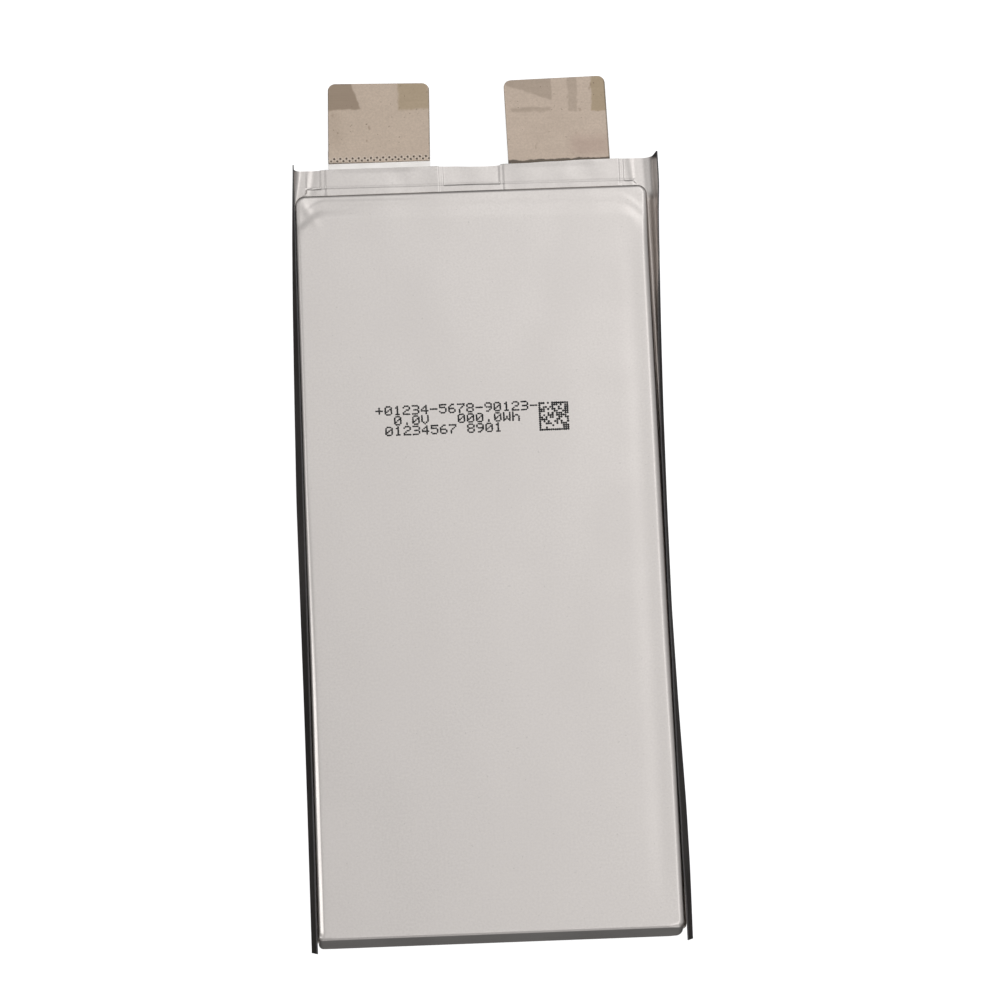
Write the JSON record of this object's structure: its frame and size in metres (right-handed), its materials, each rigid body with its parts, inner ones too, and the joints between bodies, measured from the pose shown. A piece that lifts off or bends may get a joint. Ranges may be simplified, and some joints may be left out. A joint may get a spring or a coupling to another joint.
{
  "type": "pouch battery cell",
  "caption": "Flat lithium-ion pouch cell in a silver laminate film, with folded side seals and two flat metal tabs leaving the top seal.",
  "frame": {"origin": "middle of the flat rear face, on the surface that the cell lies on", "axes": "+Z out of the front face, +Y towards the two tabs, +X to the right seen from the front with the tabs up, so the positive tab is at -X"},
  "size_m": [0.087, 0.2117, 0.011],
  "materials": {
    "laminate_film": "satin silver battery laminate",
    "aluminium_tab": "bright rolled",
    "nickel_tab": "warm satin nickel, heat stained",
    "sealant_film": "translucent polypropylene",
    "weld_tape": "amber insulating tape",
    "separator_film": "matte white microporous film",
    "cathode_coating": "matte black coated foil",
    "anode_coating": "matte graphite coated foil",
    "aluminium_foil": "bright foil",
    "copper_foil": "bright copper foil",
    "stack_tape": "green polyester tape"
  },
  "bodies": {
    "cell_body": {"pouch_front_shell": "laminate_film", "pouch_rear_shell": "laminate_film", "positive_tab_lead": "aluminium_tab", "positive_tab_bend": "aluminium_tab", "negative_tab_lead": "nickel_tab", "negative_tab_bend": "nickel_tab", "positive_sealant_front": "sealant_film", "positive_weld_tape_front": "weld_tape", "positive_sealant_rear": "sealant_film", "positive_weld_tape_rear": "weld_tape", "negative_sealant_front": "sealant_film", "negative_weld_tape_front": "weld_tape", "negative_sealant_rear": "sealant_film", "negative_weld_tape_rear": "weld_tape", "separator": "separator_film", "cathode_plate_1": "cathode_coating", "cathode_plate_2": "cathode_coating", "cathode_plate_3": "cathode_coating", "cathode_plate_4": "cathode_coating", "cathode_plate_5": "cathode_coating", "cathode_plate_6": "cathode_coating", "cathode_plate_7": "cathode_coating", "anode_plate_1": "anode_coating", "anode_plate_2": "anode_coating", "anode_plate_3": "anode_coating", "anode_plate_4": "anode_coating", "anode_plate_5": "anode_coating", "anode_plate_6": "anode_coating", "anode_plate_7": "anode_coating", "anode_plate_8": "anode_coating", "positive_foil_bundle": "aluminium_foil", "negative_foil_bundle": "copper_foil", "stack_tape_left_lower": "stack_tape", "stack_tape_left_upper": "stack_tape", "stack_tape_bottom_left": "stack_tape", "stack_tape_right_lower": "stack_tape", "stack_tape_right_upper": "stack_tape", "stack_tape_bottom_right": "stack_tape"},
    "positive_tab": {"positive_tab_stub": "aluminium_tab", "positive_adapter_plate": "nickel_tab"},
    "negative_tab": {"negative_tab_blade": "nickel_tab"}
  },
  "joints": [
    {"name": "positive_tab_fold", "type": "hinge", "parent": "cell_body", "child": "positive_tab", "pos_m": [-0.0214, 0.09825, 0.0055], "axis": [1, 0, 0], "range_deg": [-12, 90]},
    {"name": "negative_tab_fold", "type": "hinge", "parent": "cell_body", "child": "negative_tab", "pos_m": [0.0214, 0.09825, 0.0055], "axis": [1, 0, 0], "range_deg": [-12, 90]}
  ]
}
